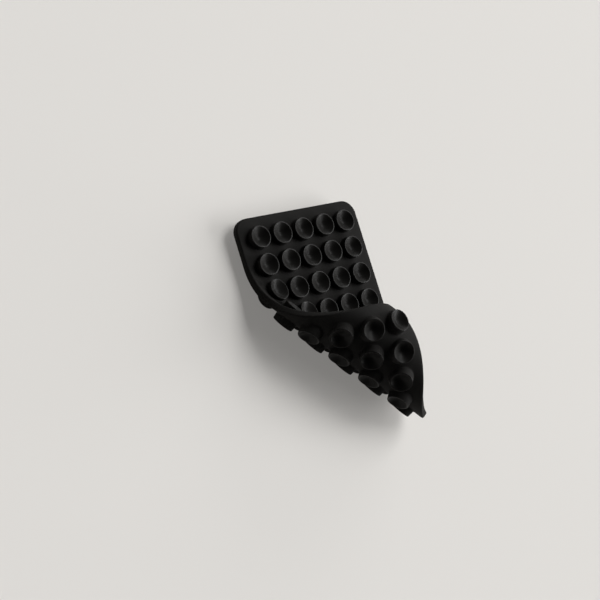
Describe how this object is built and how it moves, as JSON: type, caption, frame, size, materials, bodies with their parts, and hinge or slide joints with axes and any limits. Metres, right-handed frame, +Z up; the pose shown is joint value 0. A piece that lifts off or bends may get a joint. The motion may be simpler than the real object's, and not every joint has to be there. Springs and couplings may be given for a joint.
{
  "type": "double-sided suction cup mount",
  "caption": "Soft silicone mat with rounded corners and a grid of small suction cups on both faces, shown lying flat with one corner rolled over. Sticks a handset to a smooth surface.",
  "frame": {"origin": "under the middle of the part's box, on the surface that the mat lies on", "axes": "+X across the mat along a row of cups, +Y along the mat away from the rolled corner's end, +Z up from the surface it lies on"},
  "size_m": [0.062, 0.0958, 0.0349],
  "materials": {
    "silicone": "matt to satin, dark charcoal"
  },
  "bodies": {
    "root": {"suction_mat": "silicone"}
  },
  "joints": []
}
